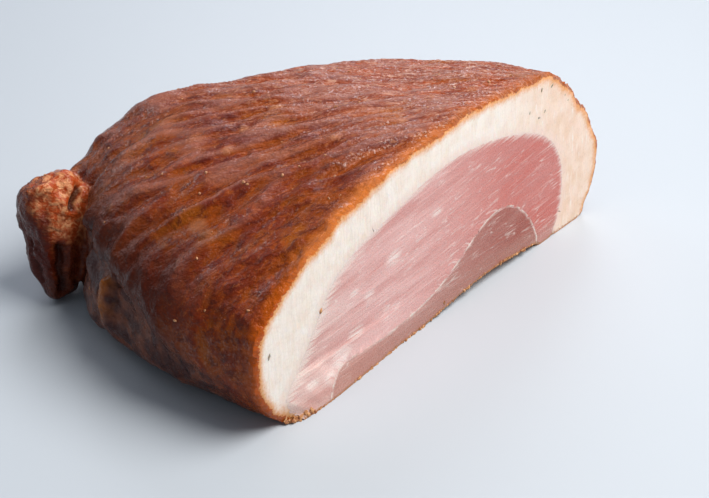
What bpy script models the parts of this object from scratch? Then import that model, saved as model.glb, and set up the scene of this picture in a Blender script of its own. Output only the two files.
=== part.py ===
"""Cut piece of smoked duck breast: browned skin over a thick fat cap, lean meat, inner fillet.

X runs along the cut face, Y from the cut face back to the rounded end, Z up.
The cut face is the flat side at the lowest Y. Sizes in the tables are millimetres.
"""
import math

import bmesh
import bpy
from mathutils import Matrix, Vector, noise

MM = 0.001

# driving sizes, mm
DEPTH = 74.6            # cut face to the back of the skin
CREST = 41.6            # height of the cut face
BACK_FAT = 8.5          # fat left behind the lean at the back
GAP = 0.35              # clearance between one piece and the next
BACK_SWELL = 4.0        # how far mid height stands out past the foot at the back
SWELL_RUN = (6.0, 24.0)      # X over which that swell comes in
BACK_ROUNDING = (5.4, 0.25)  # powers of the rounded back in plan
TOP_ROUNDING = 0.72     # power of the back's rounding in height
CORNER_LINE = 44.5      # cut-off of the left back corner, measured square to its chamfer
CORNER_BLEND = 7.0      # width of the soft edge where it meets the left side
FILLET_REACH = 0.84     # share of the lean's depth that the inner fillet runs
ARCH_RISE = 2.3         # underside of the fillet lifts this much at the cut face
ARCH_MIDDLE = 65.0      # X where it lifts most
ARCH_HALF = 28.0        # X from there to where it rests
ARCH_DEPTH = 16.0       # Y over which the lift runs out
FOOT_FLARE = 2.0        # the cut face flares out this much along its foot on the left
FLARE_HEIGHT = 8.0      # up to this height
FLARE_STARTS = (-1.5, 3.0)   # X where the flare begins and is full
FLARE_ENDS = (5.0, 42.0)     # X where it starts to fade and is gone
PLAN_MIDDLE = 33.0      # the back closes towards this X
LEFT_BOW = 1.6          # left side bows out this much between cut and back
BOW_SHARE = 0.66        # share of the depth that the bow takes
LEFT_PULL = 13.0        # left side comes in this much by the back
RIGHT_PULL = 46.0       # right side comes in this much by the back
PULL_POWERS = (2.9, 2.2)     # how late the left and right sides come in
BACK_SINK = 0.15        # share of height lost by the back
SHOULDER_DROP = 0.105   # further share of height lost on the right towards the back
SHOULDER_RUN = (38.0, 88.0)  # X over which it grows
FILLET_MIDDLE = 46.0    # the inner fillet narrows towards this X
FILLET_NARROW = 0.30    # share of its width the fillet loses by its end

# skin relief, mm
FOLD_SPACING = 7.6
FOLD_HEIGHT = 0.42
FOLD_RUN = (0.52, 0.854)   # unit direction across the folds, in plan
FOLD_DRIFT = (0.035, 0.84)      # waves per mm and size, in folds, of their waviness
FOLD_FADE = (45.0, 80.0)        # X over which they grow weak
FOLD_LEVELS = (13.0, 26.0)      # heights between which they come in
FOLD_START = (2.0, 10.0)        # Y over which they come in behind the cut
WAVE_SIZES = ((0.055, 0.9), (0.16, 0.5))   # waves per mm and their height
SLACK_DEPTH = 2.3       # slack skin low on the left lies this much further in
SLACK_SIDE = (2.0, 14.0)        # X over which it ends
SLACK_STARTS = (8.0, 26.0)      # Y over which it begins
SLACK_ENDS = (58.0, 68.0)       # Y over which it runs out
SLACK_SWELL = 2.4       # and swells out again by this much above its foot
SWELL_AT = 4.0          # the swell's height above the table
SWELL_REACH = 4.2
CREASE_HEIGHTS = (12.5, 21.5)   # crease above the slack skin, near the cut and by the shrivelled end
CREASE_RUN = (12.0, 42.0)       # Y over which the crease climbs
CREASE_WAVER = (0.5, 0.8)       # radians per mm and height of its wavering
CREASE_EDGE = (-2.0, 0.8)       # heights, from the crease, over which the skin steps in
RIM_CRUMPLE = 1.5       # lumps along the right edge
RIM_RUN = (84.0, 98.0)  # X over which they come in
RIM_FINENESS = 0.21     # lumps per mm
# lumps and hollows: centre, radii, height
LUMPS = [
    ((-6.2, 40.6, 13.6), (3.6, 2.6, 5.0), 2.6),
    ((-3.0, 46.5, 21.0), (4.5, 5.0, 6.0), -2.2),
    ((9.5, 61.5, 17.0), (5.0, 5.0, 9.0), -2.5),
    ((18.6, 70.6, 20.8), (3.4, 3.4, 2.6), 2.5),
]

# section of the skin at the cut face, left foot over the top to right foot (x, z)
SKIN_SECTION = [
    (-1.0, 0.0), (-5.6, 4.6), (-8.8, 11.0), (-8.8, 18.5), (-5.4, 25.0), (3.2, 30.9),
    (17.4, 36.6), (33.0, 40.2), (50.0, 41.6), (66.0, 41.5), (80.5, 40.4), (88.6, 36.8),
    (95.2, 30.2), (101.6, 22.4), (105.0, 14.6), (104.6, 6.6), (100.5, 0.0),
]
# where the fat meets the lean
LEAN_SECTION = [
    (2.6, 0.0), (-0.6, 1.8), (-2.2, 4.6), (-0.6, 7.2), (2.2, 9.9), (5.2, 13.8), (8.6, 19.0),
    (12.6, 24.0), (19.2, 27.6), (28.0, 29.9), (43.2, 33.4), (53.5, 34.0), (63.0, 33.0), (72.0, 30.8),
    (79.5, 28.2), (86.0, 23.8), (90.0, 17.6), (91.2, 10.0), (90.0, 4.0), (87.6, 0.0),
]
# silverskin line over the inner fillet
FILLET_SECTION = [
    (9.0, 0.0), (11.0, 3.2), (14.8, 5.7), (20.0, 5.2), (27.0, 4.6), (34.0, 4.8),
    (40.5, 5.6), (46.5, 7.2), (53.0, 10.2), (59.5, 14.0), (66.0, 16.0), (72.5, 14.4),
    (78.0, 9.6), (81.5, 4.2), (82.5, 0.0),
]
SECTION_LEFT = -8.8
SECTION_RIGHT = 105.0

STATIONS = 42           # rings of the skin, cut face to back
ARC_STEPS = 64          # steps of one skin ring
INNER_STATIONS = 14     # rings of the lean, a third of those of the skin
INNER_STEPS = 32        # steps of one lean ring, half of those of the skin
FILLET_STEPS = INNER_STEPS - 4

# lobes of the shrivelled end: centre x, y, z and radii across, along and up, mm
LOBES = [
    (8.2, 68.6, 17.2, 7.5, 7.2, 8.2),
    (6.9, 66.9, 10.4, 6.4, 6.2, 9.2),
    (13.2, 70.6, 19.6, 4.0, 4.0, 4.0),
    (4.6, 64.9, 5.0, 3.8, 4.2, 5.2),
]
LOBE_TURN = math.radians(-51.8)   # turns "across" into plan
LOBE_WRINKLES = ((0.22, 0.9), (0.50, 0.5))   # waves per mm and their height
LARGE_LOBE = 5.0        # lobes wider than this get the finer sphere

SKIN_COLOUR = (0.171, 0.036, 0.0105, 1.0)
LEAN_COLOUR = (0.679, 0.381, 0.347, 1.0)
FILLET_COLOUR = (0.604, 0.402, 0.361, 1.0)


def clear_scene():
    for old in list(bpy.data.objects):
        bpy.data.objects.remove(old, do_unlink=True)


def material(name, colour, roughness):
    mat = bpy.data.materials.new(name)
    mat.use_nodes = True
    shader = mat.node_tree.nodes["Principled BSDF"]
    shader.inputs["Base Color"].default_value = colour
    shader.inputs["Roughness"].default_value = roughness
    shader.inputs["Metallic"].default_value = 0.0
    return mat


def smoothstep(low, high, value):
    t = min(1.0, max(0.0, (value - low) / (high - low)))
    return t * t * (3.0 - 2.0 * t)


def soft_max(a, b, width):
    h = max(0.0, width - abs(a - b)) / width
    return max(a, b) + h * h * width * 0.25


def curve_through(points, steps):
    """Evenly spaced points along a smooth curve through the given ones."""
    first = (2 * points[0][0] - points[1][0], 2 * points[0][1] - points[1][1])
    last = (2 * points[-1][0] - points[-2][0], 2 * points[-1][1] - points[-2][1])
    ends = [first] + points + [last]
    fine = []
    for i in range(1, len(ends) - 2):
        for k in range(10):
            t = k / 10
            fine.append(tuple(
                0.5 * (2 * ends[i][c] + (ends[i + 1][c] - ends[i - 1][c]) * t
                       + (2 * ends[i - 1][c] - 5 * ends[i][c] + 4 * ends[i + 1][c] - ends[i + 2][c]) * t ** 2
                       + (3 * ends[i][c] - ends[i - 1][c] - 3 * ends[i + 1][c] + ends[i + 2][c]) * t ** 3)
                for c in (0, 1)))
    fine.append(points[-1])
    lengths = [0.0]
    for a, b in zip(fine, fine[1:]):
        lengths.append(lengths[-1] + math.hypot(b[0] - a[0], b[1] - a[1]))
    out = []
    seg = 0
    for i in range(steps + 1):
        want = lengths[-1] * i / steps
        while seg < len(fine) - 2 and lengths[seg + 1] < want:
            seg += 1
        t = (want - lengths[seg]) / (lengths[seg + 1] - lengths[seg])
        t = min(1.0, max(0.0, t))
        out.append((fine[seg][0] + (fine[seg + 1][0] - fine[seg][0]) * t,
                    fine[seg][1] + (fine[seg + 1][1] - fine[seg][1]) * t))
    out[0] = points[0]
    out[-1] = points[-1]
    return out


def grown(section, gap):
    """The same section moved outward by the gap, feet kept on the table."""
    out = []
    for i, (x, z) in enumerate(section):
        a = section[max(0, i - 1)]
        b = section[min(len(section) - 1, i + 1)]
        dx, dz = b[0] - a[0], b[1] - a[1]
        size = math.hypot(dx, dz)
        out.append((x - dz / size * gap, z + dx / size * gap))
    out[0] = (section[0][0] - gap, 0.0)
    out[-1] = (section[-1][0] + gap, 0.0)
    return out


def reach(u):
    """Share of the depth at ring parameter u, rings closer together towards the back."""
    return 0.5 * u + 0.5 * math.sin(u * math.pi / 2)


def outline(t):
    """Left edge, right edge and height of the section at share t of the depth."""
    close = max(0.0, 1.0 - t ** BACK_ROUNDING[0]) ** BACK_ROUNDING[1]
    bow = LEFT_BOW * math.sin(math.pi * min(1.0, t / BOW_SHARE))
    left = SECTION_LEFT - bow + LEFT_PULL * t ** PULL_POWERS[0]
    right = SECTION_RIGHT - RIGHT_PULL * t ** PULL_POWERS[1]
    left = PLAN_MIDDLE + (left - PLAN_MIDDLE) * close
    right = PLAN_MIDDLE + (right - PLAN_MIDDLE) * close
    chamfer = (-math.sin(LOBE_TURN) * t * DEPTH - CORNER_LINE) / math.cos(LOBE_TURN)
    left = min(PLAN_MIDDLE, soft_max(left, chamfer, CORNER_BLEND))
    tall = (1.0 - BACK_SINK * t ** 1.5) * close ** TOP_ROUNDING
    return left, right, tall


def place(point, t, depth):
    """A point of the cut-face section carried to share t of the depth."""
    left, right, tall = outline(t)
    x = left + (point[0] - SECTION_LEFT) * (right - left) / (SECTION_RIGHT - SECTION_LEFT)
    drop = SHOULDER_DROP * min(1.0, t * 1.2) * smoothstep(*SHOULDER_RUN, point[0])
    z = point[1] * tall * (1.0 - drop)
    level = min(1.0, max(0.0, point[1] / CREST))
    swell = BACK_SWELL * t * 4.0 * level * (1.0 - level) * smoothstep(*SWELL_RUN, x)
    if t == 0.0:
        return Vector((x, -foot_flare(x, z), z))
    return Vector((x, t * depth + swell * depth / DEPTH, z))


def foot_flare(x, z):
    """How far the cut face flares out at its foot."""
    along = smoothstep(*FLARE_STARTS, x) * (1.0 - smoothstep(*FLARE_ENDS, x))
    return FOOT_FLARE * along * (1.0 - smoothstep(0.0, FLARE_HEIGHT, z))


def underside_rise(x, y):
    """The cut edge of the fillet stands slightly clear of the table."""
    along = max(0.0, 1.0 - ((x - ARCH_MIDDLE) / ARCH_HALF) ** 2)
    back = min(1.0, max(0.0, 1.0 - y / ARCH_DEPTH))
    return ARCH_RISE * along ** 2 * back ** 2


def folds(p):
    """Long shallow folds over the top, strongest on the left and weak near the cut."""
    across = FOLD_RUN[0] * p.x + FOLD_RUN[1] * p.y
    drift = FOLD_DRIFT[1] * noise.noise(p * FOLD_DRIFT[0])
    left_half = 1.0 - smoothstep(*FOLD_FADE, p.x)
    upper = smoothstep(*FOLD_LEVELS, p.z) * (0.3 + 0.7 * smoothstep(*FOLD_START, p.y))
    wave = math.sin(2 * math.pi * (across / FOLD_SPACING + drift))
    return FOLD_HEIGHT * wave * upper * (0.35 + 0.65 * left_half)


def slack_skin(p):
    """Loose skin low on the left, further in than the skin above its crease."""
    left_side = 1.0 - smoothstep(*SLACK_SIDE, p.x)
    along = smoothstep(*SLACK_STARTS, p.y) * (1.0 - smoothstep(*SLACK_ENDS, p.y))
    low, high = CREASE_HEIGHTS
    crease = low + (high - low) * smoothstep(*CREASE_RUN, p.y)
    crease += CREASE_WAVER[1] * math.sin(p.y * CREASE_WAVER[0])
    below = 1.0 - smoothstep(crease + CREASE_EDGE[0], crease + CREASE_EDGE[1], p.z)
    swell = SLACK_SWELL * math.exp(-((p.z - SWELL_AT) / SWELL_REACH) ** 2)
    return left_side * along * (swell - SLACK_DEPTH * below)


def lump(p, centre, radii, height):
    d = sum(((p[i] - centre[i]) / radii[i]) ** 2 for i in range(3))
    return height * math.exp(-d)


def skin_relief(p):
    """How far the skin stands out from its plain form at a point."""
    offset = folds(p) + slack_skin(p)
    for number, (fineness, height) in enumerate(WAVE_SIZES):
        offset += height * noise.noise(p * fineness + Vector((3.1 * number, 0.0, 5.2 * number)))
    for centre, radii, height in LUMPS:
        offset += lump(p, centre, radii, height)
    rim = smoothstep(*RIM_RUN, p.x)
    offset += rim * RIM_CRUMPLE * noise.noise(p * RIM_FINENESS + Vector((9.0, 2.0, 1.0)))
    return offset


def grid_points(section, stations, depth):
    rows = []
    for i in range(stations + 1):
        t = reach(i / stations)
        rows.append([place(q, t, depth) for q in section])
    return rows


def normal_of(rows, i, j):
    a = rows[min(i + 1, len(rows) - 1)][j] - rows[max(i - 1, 0)][j]
    b = rows[i][min(j + 1, len(rows[i]) - 1)] - rows[i][max(j - 1, 0)]
    n = b.cross(a)
    if n.length < 1e-6:
        return Vector((0, 0, 0))
    return n.normalized()


def folded_skin(rows):
    """Moves the outer skin in and out along its normal, feet and cut ring kept in plane."""
    out = []
    for i, row in enumerate(rows[:-1]):
        new = []
        for j, p in enumerate(row):
            n = normal_of(rows, i, j)
            q = p + n * skin_relief(p)
            if i == 0:
                q.y = 0.0
            if j in (0, len(row) - 1):
                q.z = 0.0
            q.z = max(q.z, 0.0)
            q.y = max(q.y, 0.0)
            new.append(q)
        out.append(new)
    out.append([rows[-1][0].copy() for _ in rows[-1]])
    return out


def add_sheet(verts, faces, rows, flip):
    """Quads between rows; the last row is a single point. Returns the vertex numbers."""
    ids = []
    for row in rows[:-1]:
        ids.append([add_vert(verts, p) for p in row])
    pole = add_vert(verts, rows[-1][0])
    ids.append([pole] * len(rows[-1]))
    for i in range(len(rows) - 1):
        for j in range(len(rows[i]) - 1):
            face = [ids[i][j], ids[i][j + 1], ids[i + 1][j + 1], ids[i + 1][j]]
            add_face(faces, face, flip)
    return ids


def add_vert(verts, p):
    verts.append((p.x * MM, p.y * MM, p.z * MM))
    return len(verts) - 1


def add_face(faces, face, flip=False):
    clean = []
    for v in face:
        if v not in clean:
            clean.append(v)
    if len(clean) < 3:
        return
    if flip:
        clean.reverse()
    faces.append(clean)


def mesh_object(name, verts, faces, mat):
    mesh = bpy.data.meshes.new(name)
    mesh.from_pydata(verts, [], faces)
    mesh.materials.append(mat)
    obj = bpy.data.objects.new(name, mesh)
    bpy.context.scene.collection.objects.link(obj)
    return obj


def skin_and_fat(mat):
    """Shell of fat with the skin outside, open over the lean underneath."""
    section = curve_through(SKIN_SECTION, ARC_STEPS)
    inner = grown(curve_through(LEAN_SECTION, INNER_STEPS), GAP)
    outer_rows = folded_skin(grid_points(section, STATIONS, DEPTH))
    inner_rows = grid_points(inner, INNER_STATIONS, DEPTH - BACK_FAT + GAP)
    verts = []
    faces = []
    outer = add_sheet(verts, faces, outer_rows, flip=True)
    core = add_sheet(verts, faces, inner_rows, flip=False)
    ratio = ARC_STEPS // INNER_STEPS
    for j in range(INNER_STEPS):
        rim = [outer[0][j * ratio + k] for k in range(ratio + 1)]
        add_face(faces, rim + [core[0][j + 1], core[0][j]])
    ratio = STATIONS // INNER_STATIONS
    for i in range(INNER_STATIONS):
        for side, flip in ((0, True), (-1, False)):
            rim = [outer[i * ratio + k][side] for k in range(ratio + 1)]
            add_face(faces, rim + [core[i + 1][side], core[i][side]], flip)
    return mesh_object("skin_and_fat", verts, faces, mat)


def fillet_section_at(section, t):
    """The fillet's section at share t of the depth, narrower and flatter towards its end."""
    share = min(1.0, t / FILLET_REACH)
    squeeze = 1.0 - FILLET_NARROW * share ** 2
    tall = math.sqrt(max(0.0, 1.0 - share ** 4))
    return [(FILLET_MIDDLE + (x - FILLET_MIDDLE) * squeeze, z * tall) for x, z in section]


def lean_underside(section, t):
    """The lean's lower boundary at one station: flat on the table, arched over the fillet."""
    foot_left = LEAN_SECTION[0][0]
    foot_right = LEAN_SECTION[-1][0]
    arch = grown(fillet_section_at(section, t), GAP)
    if t >= FILLET_REACH:
        arch = [(x, 0.0) for x, _ in arch]
    left = [(foot_left, 0.0), ((foot_left + arch[0][0]) / 2, 0.0)]
    right = [((foot_right + arch[-1][0]) / 2, 0.0), (foot_right, 0.0)]
    return left + arch + right


def close_loft(faces, roof, floor):
    """Faces between matching roof and floor rows, with the flat cut face in front."""
    for i in range(len(roof) - 1):
        for j in range(len(roof[i]) - 1):
            above = [roof[i][j], roof[i][j + 1], roof[i + 1][j + 1], roof[i + 1][j]]
            below = [floor[i][j], floor[i][j + 1], floor[i + 1][j + 1], floor[i + 1][j]]
            add_face(faces, above, True)
            add_face(faces, below)
    for j in range(len(roof[0]) - 1):
        add_face(faces, [roof[0][j], roof[0][j + 1], floor[0][j + 1], floor[0][j]])


def lean(mat):
    """Lean meat inside the fat, arched over the inner fillet."""
    top = curve_through(LEAN_SECTION, INNER_STEPS)
    fillet = curve_through(FILLET_SECTION, FILLET_STEPS)
    depth = DEPTH - BACK_FAT
    verts = []
    faces = []
    roof = []
    floor = []
    for i in range(INNER_STATIONS):
        t = reach(i / INNER_STATIONS)
        above = [add_vert(verts, place(q, t, depth)) for q in top]
        below = [add_vert(verts, place(q, t, depth)) for q in lean_underside(fillet, t)[1:-1]]
        roof.append(above)
        floor.append([above[0]] + below + [above[-1]])
    pole = add_vert(verts, place(top[0], 1.0, depth))
    roof.append([pole] * len(top))
    floor.append([pole] * len(top))
    close_loft(faces, roof, floor)
    return mesh_object("breast_meat", verts, faces, mat)


def inner_fillet(mat):
    """Strip of meat under the silverskin, ending in a blunt edge before the lean does."""
    section = curve_through(FILLET_SECTION, FILLET_STEPS)
    depth = DEPTH - BACK_FAT
    stops = [reach(i / INNER_STATIONS) for i in range(INNER_STATIONS)]
    stops = [t for t in stops if t < FILLET_REACH] + [FILLET_REACH]
    verts = []
    faces = []
    roof = []
    floor = []
    for t in stops:
        points = fillet_section_at(section, t)
        above = [add_vert(verts, place(q, t, depth)) for q in points]
        roof.append(above)
        if t == FILLET_REACH:
            floor.append(above)
            continue
        below = [above[0]]
        for x, _ in points[1:-1]:
            p = place((x, 0.0), t, depth)
            p.z = underside_rise(p.x, p.y)
            below.append(add_vert(verts, p))
        below.append(above[-1])
        floor.append(below)
    close_loft(faces, roof, floor)
    return mesh_object("inner_fillet", verts, faces, mat)


def lobe(values, number):
    """One wrinkled lobe of the shrivelled end."""
    x, y, z, across, along, up = values
    bm = bmesh.new()
    bmesh.ops.create_icosphere(bm, subdivisions=4 if across > LARGE_LOBE else 3, radius=1.0)
    turn = Matrix.Rotation(LOBE_TURN, 3, "Z")
    for v in bm.verts:
        d = v.co.normalized()
        p = Vector((d.x * across, d.y * along, d.z * up))
        for fineness, height in LOBE_WRINKLES:
            p += d * height * noise.noise(p * fineness + Vector((number * 7.0, 1.0, 2.0)))
        q = turn @ p
        v.co = Vector((q.x + x, q.y + y, max(q.z + z, 0.0))) * MM
    mesh = bpy.data.meshes.new("lobe")
    bm.to_mesh(mesh)
    bm.free()
    obj = bpy.data.objects.new("lobe", mesh)
    return obj


def fuse_lobes(body):
    tools = bpy.data.collections.new("lobes")
    bpy.context.scene.collection.children.link(tools)
    for number, values in enumerate(LOBES):
        obj = lobe(values, number)
        tools.objects.link(obj)
        obj.hide_render = True
        obj.display_type = "WIRE"
    mod = body.modifiers.new("fuse", "BOOLEAN")
    mod.operation = "UNION"
    mod.operand_type = "COLLECTION"
    mod.collection = tools
    mod.solver = "EXACT"
    bpy.context.view_layer.objects.active = body
    body.select_set(True)
    bpy.ops.object.modifier_apply(modifier=mod.name)
    for obj in list(tools.objects):
        bpy.data.objects.remove(obj, do_unlink=True)
    bpy.data.collections.remove(tools)


def middle_of(objects):
    """Middle of the shared bounding box, seen from above."""
    points = [v.co for obj in objects for v in obj.data.vertices]
    x = (min(p.x for p in points) + max(p.x for p in points)) / 2
    y = (min(p.y for p in points) + max(p.y for p in points)) / 2
    return Vector((x, y, 0.0))


def finish(obj, smooth_angle, middle):
    """Triangulated, one closed body facing out, moved over the origin, shaded smooth."""
    bm = bmesh.new()
    bm.from_mesh(obj.data)
    bmesh.ops.remove_doubles(bm, verts=bm.verts, dist=0.00001)
    bmesh.ops.dissolve_degenerate(bm, edges=bm.edges, dist=0.00001)
    bmesh.ops.triangulate(bm, faces=bm.faces, quad_method="BEAUTY", ngon_method="BEAUTY")
    bmesh.ops.recalc_face_normals(bm, faces=bm.faces)
    for v in bm.verts:
        v.co -= middle
    bm.to_mesh(obj.data)
    bm.free()
    for poly in obj.data.polygons:
        poly.use_smooth = True
    bpy.ops.object.select_all(action="DESELECT")
    obj.select_set(True)
    bpy.context.view_layer.objects.active = obj
    bpy.ops.object.shade_smooth_by_angle(angle=math.radians(smooth_angle))


def build():
    clear_scene()
    cap = skin_and_fat(material("browned_skin", SKIN_COLOUR, 0.38))
    fuse_lobes(cap)
    meat = lean(material("cured_lean", LEAN_COLOUR, 0.45))
    strip = inner_fillet(material("inner_fillet_lean", FILLET_COLOUR, 0.48))
    middle = middle_of((cap, meat, strip))
    finish(cap, 60.0, middle)
    finish(meat, 45.0, middle)
    finish(strip, 45.0, middle)
    return middle


build()
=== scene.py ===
import math
import random
from functools import partial
from types import SimpleNamespace

import bpy
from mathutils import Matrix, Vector, noise
from mathutils.bvhtree import BVHTree
from mathutils.geometry import intersect_point_line


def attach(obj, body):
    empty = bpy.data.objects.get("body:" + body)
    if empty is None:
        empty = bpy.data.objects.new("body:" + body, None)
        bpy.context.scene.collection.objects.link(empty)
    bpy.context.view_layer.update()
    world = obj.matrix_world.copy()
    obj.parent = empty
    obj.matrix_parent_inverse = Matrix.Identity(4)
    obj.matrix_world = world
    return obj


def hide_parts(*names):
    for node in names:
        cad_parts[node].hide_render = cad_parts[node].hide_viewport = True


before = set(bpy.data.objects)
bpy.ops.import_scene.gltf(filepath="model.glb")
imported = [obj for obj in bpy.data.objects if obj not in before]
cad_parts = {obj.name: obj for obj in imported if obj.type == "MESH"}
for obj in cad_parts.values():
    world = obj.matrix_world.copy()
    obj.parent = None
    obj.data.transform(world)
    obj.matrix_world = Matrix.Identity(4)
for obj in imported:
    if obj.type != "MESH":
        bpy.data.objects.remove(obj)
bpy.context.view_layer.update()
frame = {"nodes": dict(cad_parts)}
print("frame loaded:", ", ".join(frame["nodes"]))

noise.seed_set(1)               # noise_vector follows the clock without it
mm = 0.001
nodeMesh = {name: node.data for name, node in frame["nodes"].items()}
flareTop = 9 * mm               # below this the foot of the cut flares out in front of its plane
cutY = min(v.co.y for v in nodeMesh["skin_and_fat"].vertices if v.co.z > 12 * mm)      # that plane
outOfCut = Vector((0, -1, 0))
cutFacing = -0.8                # normals with a lower Y look out of the cut
touching = 1.2 * mm             # a face of the fat that is nearer to the meat than this lies against it


# nodes and materials

def linear(hexColour):
    parts = [int(hexColour[i:i + 2], 16) / 255 for i in (1, 3, 5)]
    return [c / 12.92 if c <= 0.04045 else ((c + 0.055) / 1.055) ** 2.4 for c in parts] + [1.0]


def fillNode(tree, node, settings):
    # each setting is a property, the value of an input, or a socket to link to an input
    for key, value in settings.items():
        if isinstance(value, bpy.types.NodeSocket):
            tree.links.new(value, node.inputs[key])
        elif isinstance(key, int) or key in node.inputs:
            node.inputs[key].default_value = linear(value) if isinstance(value, str) else value
        else:
            setattr(node, key, value)


def addNode(tree, kind, settings=None, out=0):
    # hands back one output, or the whole node where out is None
    node = tree.nodes.new("ShaderNode" + kind)
    fillNode(tree, node, settings or {})
    return node if out is None else node.outputs[out]


def startMaterial(name):
    # with it come two helpers: one adds a node to it, the other sets its shader
    mat = bpy.data.materials.new(name)
    mat.use_nodes = True
    tree = mat.node_tree
    return mat, partial(addNode, tree), partial(fillNode, tree, tree.nodes["Principled BSDF"])


# settings that many nodes share
rgb = {"data_type": "RGBA"}
soft = {"interpolation_type": "SMOOTHSTEP"}
times = {"operation": "MULTIPLY"}
timesPlus = {"operation": "MULTIPLY_ADD"}
minus = {"operation": "SUBTRACT"}
larger = {"operation": "MAXIMUM"}


# meshes

def selectOnly(piece):
    bpy.ops.object.select_all(action="DESELECT")
    piece.select_set(True)
    bpy.context.view_layer.objects.active = piece


def applyModifier(piece, kind, **settings):
    selectOnly(piece)
    mod = piece.modifiers.new(kind.title(), kind)
    for key, value in settings.items():
        setattr(mod, key, value)
    bpy.ops.object.modifier_apply(modifier=mod.name)


def smoothStep(low, high, value):
    t = min(1.0, max(0.0, (value - low) / (high - low)))
    return t * t * (3 - 2 * t)


def copyOfNode(nodeName, pieceName):
    # a copy to shape, its loose triangles merged
    piece = bpy.data.objects.new(pieceName, nodeMesh[nodeName].copy())
    bpy.context.scene.collection.objects.link(piece)
    selectOnly(piece)
    bpy.ops.object.mode_set(mode="EDIT")
    bpy.ops.mesh.select_all(action="SELECT")
    bpy.ops.mesh.remove_doubles(threshold=0.01 * mm)
    bpy.ops.mesh.select_all(action="DESELECT")
    bpy.ops.object.mode_set(mode="OBJECT")
    piece.data.materials.clear()
    return piece


def isCutFace(centre, normal):
    return normal.y < cutFacing and centre.y < cutY + 0.1 * mm


def soften(piece, voxel, rounds, pastCut=6 * mm):
    # an even mesh with soft facets and a crisp cut: run on past the cut, smooth, slice, remesh
    selectOnly(piece)
    for face in piece.data.polygons:
        face.select = isCutFace(face.center, face.normal)
    bpy.ops.object.mode_set(mode="EDIT")
    bpy.ops.mesh.select_mode(type="FACE")
    bpy.ops.mesh.extrude_region_move(TRANSFORM_OT_translate={"value": (0, -pastCut, 0)})
    bpy.ops.object.mode_set(mode="OBJECT")
    applyModifier(piece, "REMESH", mode="VOXEL", voxel_size=voxel)
    applyModifier(piece, "SMOOTH", factor=0.5, iterations=rounds)
    bpy.ops.object.mode_set(mode="EDIT")
    bpy.ops.mesh.select_all(action="SELECT")
    bpy.ops.mesh.bisect(plane_co=(0, cutY, 0), plane_no=outOfCut, use_fill=True, clear_outer=True)
    bpy.ops.object.mode_set(mode="OBJECT")
    applyModifier(piece, "REMESH", mode="VOXEL", voxel_size=voxel)
    applyModifier(piece, "SMOOTH", factor=0.5, iterations=1)


def isOnCut(p, n, voxel):
    # a vertex of the remeshed cut, with its rounded rim
    return n.y < -0.35 and p.y < cutY + 0.8 * voxel


def reshape(piece, places, marks):
    # moves the vertices and stores the marks, one dictionary a vertex, that the materials read
    piece.data.vertices.foreach_set("co", [c for p in places for c in p])
    piece.data.update()
    for name, first in marks[0].items():
        isVector = isinstance(first, Vector)
        layer = piece.data.attributes.new(name, "FLOAT_VECTOR" if isVector else "FLOAT", "POINT")
        if isVector:
            layer.data.foreach_set("vector", [c for mark in marks for c in mark[name]])
        else:
            layer.data.foreach_set("value", [mark[name] for mark in marks])


def finishPiece(piece, nodeName, material):
    selectOnly(piece)
    bpy.ops.object.shade_smooth_by_angle(angle=math.radians(50))
    piece.data.materials.append(material)
    if nodeName:
        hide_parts(nodeName)
    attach(piece, "root")
    print(piece.name, len(piece.data.polygons), "faces")


def searchTree(mesh, keep=lambda centre, normal: True):
    # nearest-point and ray search over those faces of a mesh that keep() wants
    faces = [tuple(p.vertices) for p in mesh.polygons if keep(p.center, p.normal)]
    return BVHTree.FromPolygons([v.co for v in mesh.vertices], faces)


def millimetresTo(tree, p):
    return tree.find_nearest(p)[3] / mm


# where skin, fat and lean lie

leanTree = searchTree(nodeMesh["breast_meat"])
filletTree = searchTree(nodeMesh["inner_fillet"])
cutTrees = [leanTree, filletTree, searchTree(nodeMesh["skin_and_fat"])]


def isFilletTop(centre, normal):
    # its top and sides, where the silverskin lies
    return normal.z > -0.7 and normal.y > cutFacing


def isOuterSkin(centre, normal):
    meatAway = min(leanTree.find_nearest(centre)[3], filletTree.find_nearest(centre)[3])
    isFoot = normal.z < -0.97 and centre.z < 0.3 * mm
    return not (meatAway < touching or isCutFace(centre, normal) or isFoot)


def isFatByLean(centre, normal):
    return normal.y > cutFacing and leanTree.find_nearest(centre)[3] < touching


filletTop = searchTree(nodeMesh["inner_fillet"], isFilletTop)
outerSkin = searchTree(nodeMesh["skin_and_fat"], isOuterSkin)
fatByLean = searchTree(nodeMesh["skin_and_fat"], isFatByLean)


def flareAt(x, z, reach=5 * mm):
    # how far the cut face stands out in front of its plane at its foot; looks past the seams
    if z > flareTop:
        return 0.0
    most = 0.0
    for dx, dz in ((0, 0), (0.5, 0), (-0.5, 0), (0, 0.5)):      # mm
        start = Vector((x + dx * mm, cutY - reach, max(z, 0.2 * mm) + dz * mm))
        for tree in cutTrees:
            hit = tree.ray_cast(start, -outOfCut, reach)[0]
            if hit:
                most = max(most, cutY - hit.y)
    return most


def footOfCut(x):
    # height of the lower edge of the cut face, found from below, just behind the face
    start = Vector((x, cutY + 0.3 * mm, -5 * mm))
    hits = [tree.ray_cast(start, Vector((0, 0, 1)))[0] for tree in cutTrees]
    return min([hit.z for hit in hits if hit], default=0.0)


footFrom, footTo = -60, 60      # mm
footHeights = [footOfCut(x * mm) / mm for x in range(footFrom, footTo + 1)]


def aboveFoot(p):
    # height over the lower edge of the cut, mm
    at = min(footTo - footFrom - 1, max(0, p.x / mm - footFrom))
    i = int(at)
    return p.z / mm - footHeights[i] - (footHeights[i + 1] - footHeights[i]) * (at - i)


def standForward(p, onCut):
    # the flare of the foot, full on the cut and gone 4 mm behind it
    fade = 1.0 if onCut else 1 - smoothStep(0, 4, (p.y - cutY) / mm)
    if fade > 0:
        p.y -= flareAt(p.x, p.z) * fade


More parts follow.
